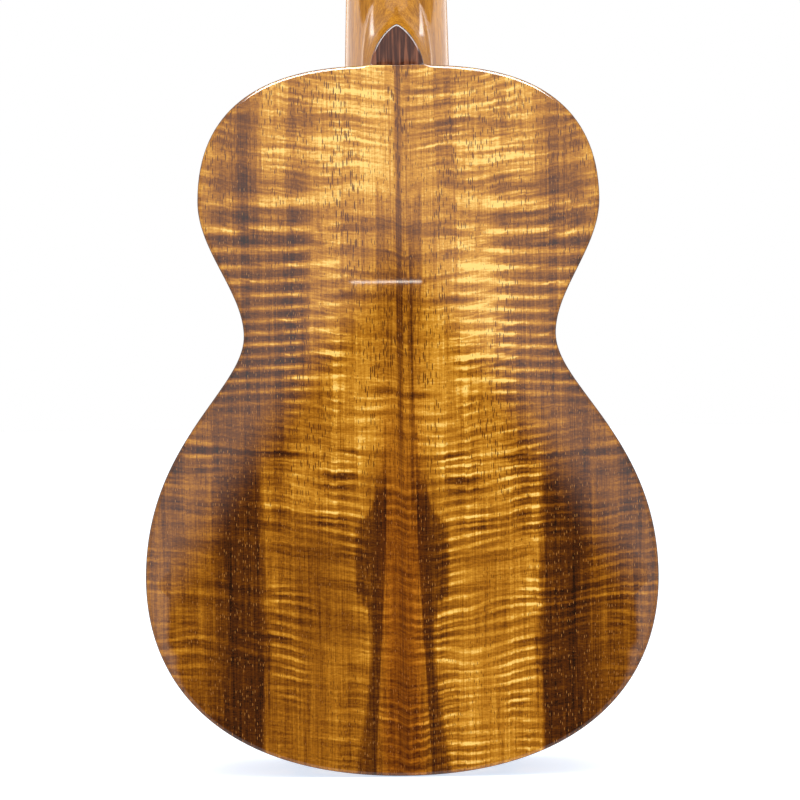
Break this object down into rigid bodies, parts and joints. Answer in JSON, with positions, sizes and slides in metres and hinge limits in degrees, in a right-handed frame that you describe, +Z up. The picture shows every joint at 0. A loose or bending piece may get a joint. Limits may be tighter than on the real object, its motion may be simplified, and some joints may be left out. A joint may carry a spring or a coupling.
{
  "type": "ukulele",
  "caption": "Wooden tenor ukulele: waisted body with an arched back, carved neck and heel, tie bridge, nylon strings and open-geared tuning machines whose buttons turn the string posts.",
  "frame": {"origin": "where a wall hanger's fork takes the neck, on the centreline at the nut end of the fretboard, in the plane of the soundboard and the fretboard's underside", "axes": "+Z up the neck towards the head, +Y out of the soundboard towards the player's audience, -Y out of the back, +X to the right when seen from behind"},
  "size_m": [0.22, 0.0841, 0.6689],
  "materials": {
    "koa": "bookmatched curly koa under high gloss lacquer",
    "neck_wood": "golden brown mahogany under satin gloss lacquer",
    "inner_wood": "bare mahogany, inside the body",
    "spruce": "bare spruce, inside the body",
    "rosewood": "dark striped rosewood, oiled",
    "bone": "polished bone",
    "nickel": "nickel plated steel",
    "brass": "turned brass",
    "string": "clear nylon",
    "pearl": "pearloid",
    "carbon": "carbon fibre bar"
  },
  "bodies": {
    "instrument": {"soundboard_left": "koa", "soundboard_right": "koa", "rosette": "rosewood", "back_left": "koa", "back_right": "koa", "side_left": "koa", "side_right": "koa", "neck_block": "inner_wood", "tail_block": "inner_wood", "tail_graft": "rosewood", "top_linings": "inner_wood", "back_linings": "inner_wood", "soundboard_braces": "spruce", "bridge_plate": "spruce", "back_braces": "spruce", "back_seam_strip": "spruce", "neck": "neck_wood", "headstock": "neck_wood", "head_overlay": "koa", "heel_cap": "rosewood", "fretboard": "rosewood", "frets": "nickel", "inlay_dots": "pearl", "nut": "bone", "neck_rod": "carbon", "neck_bolt": "nickel", "neck_insert": "brass", "bridge": "rosewood", "saddle": "bone", "string_g": "string", "string_c": "string", "string_e": "string", "string_a": "string", "tuner_plates": "nickel", "tuner_bushings": "nickel", "plate_screws": "nickel"},
    "button_g": {"worm_shaft_g": "nickel", "tuner_button_g": "pearl"},
    "post_g": {"string_post_g": "nickel", "worm_wheel_g": "brass", "wheel_screw_g": "nickel", "winding_g": "string"},
    "button_c": {"worm_shaft_c": "nickel", "tuner_button_c": "pearl"},
    "post_c": {"string_post_c": "nickel", "worm_wheel_c": "brass", "wheel_screw_c": "nickel", "winding_c": "string"},
    "button_e": {"worm_shaft_e": "nickel", "tuner_button_e": "pearl"},
    "post_e": {"string_post_e": "nickel", "worm_wheel_e": "brass", "wheel_screw_e": "nickel", "winding_e": "string"},
    "button_a": {"worm_shaft_a": "nickel", "tuner_button_a": "pearl"},
    "post_a": {"string_post_a": "nickel", "worm_wheel_a": "brass", "wheel_screw_a": "nickel", "winding_a": "string"}
  },
  "joints": [
    {"name": "turn_button_g", "type": "hinge", "parent": "instrument", "child": "button_g", "pos_m": [0.018, -0.02142, 0.02955], "axis": [1, 0, 0], "continuous": true},
    {"name": "turn_post_g", "type": "hinge", "parent": "instrument", "child": "post_g", "pos_m": [0.018, -0.00787, 0.0391], "axis": [0, 0.9744, 0.225], "continuous": true},
    {"name": "turn_button_c", "type": "hinge", "parent": "instrument", "child": "button_c", "pos_m": [0.0155, -0.032, 0.07535], "axis": [1, 0, 0], "continuous": true},
    {"name": "turn_post_c", "type": "hinge", "parent": "instrument", "child": "post_c", "pos_m": [0.0155, -0.01845, 0.0849], "axis": [0, 0.9744, 0.225], "continuous": true},
    {"name": "turn_button_e", "type": "hinge", "parent": "instrument", "child": "button_e", "pos_m": [-0.0155, -0.032, 0.07535], "axis": [-1, 0, 0], "continuous": true},
    {"name": "turn_post_e", "type": "hinge", "parent": "instrument", "child": "post_e", "pos_m": [-0.0155, -0.01845, 0.0849], "axis": [0, 0.9744, 0.225], "continuous": true},
    {"name": "turn_button_a", "type": "hinge", "parent": "instrument", "child": "button_a", "pos_m": [-0.018, -0.02142, 0.02955], "axis": [-1, 0, 0], "continuous": true},
    {"name": "turn_post_a", "type": "hinge", "parent": "instrument", "child": "post_a", "pos_m": [-0.018, -0.00787, 0.0391], "axis": [0, 0.9744, 0.225], "continuous": true}
  ],
  "couplings": [
    {"joint": "turn_post_g", "follows": "turn_button_g", "ratio": -0.071429},
    {"joint": "turn_post_c", "follows": "turn_button_c", "ratio": -0.071429},
    {"joint": "turn_post_e", "follows": "turn_button_e", "ratio": -0.071429},
    {"joint": "turn_post_a", "follows": "turn_button_a", "ratio": -0.071429}
  ]
}
